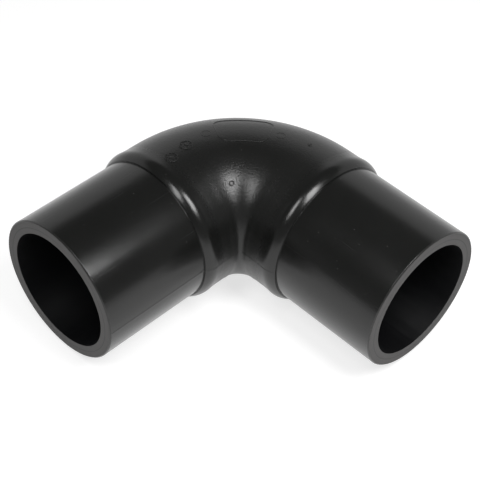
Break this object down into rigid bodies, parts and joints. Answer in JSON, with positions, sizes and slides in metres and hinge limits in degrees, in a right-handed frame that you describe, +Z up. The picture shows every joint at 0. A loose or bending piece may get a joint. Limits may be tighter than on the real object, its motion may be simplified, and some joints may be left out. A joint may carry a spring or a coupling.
{
  "type": "spigot elbow",
  "caption": "Right-angle pipe elbow in one moulded piece: a thick smooth bend with rounded shoulders and a plain tubular spigot at each end, open right through.",
  "frame": {"origin": "centre of the inlet's end face", "axes": "+Y into the fitting along the inlet, +X out of it along the outlet, +Z up, square to both legs"},
  "size_m": [0.2371, 0.2371, 0.1182],
  "materials": {
    "polyethylene": "satin black as moulded, with bare turned end faces in dark grey"
  },
  "bodies": {
    "root": {"elbow": "polyethylene"}
  },
  "joints": []
}
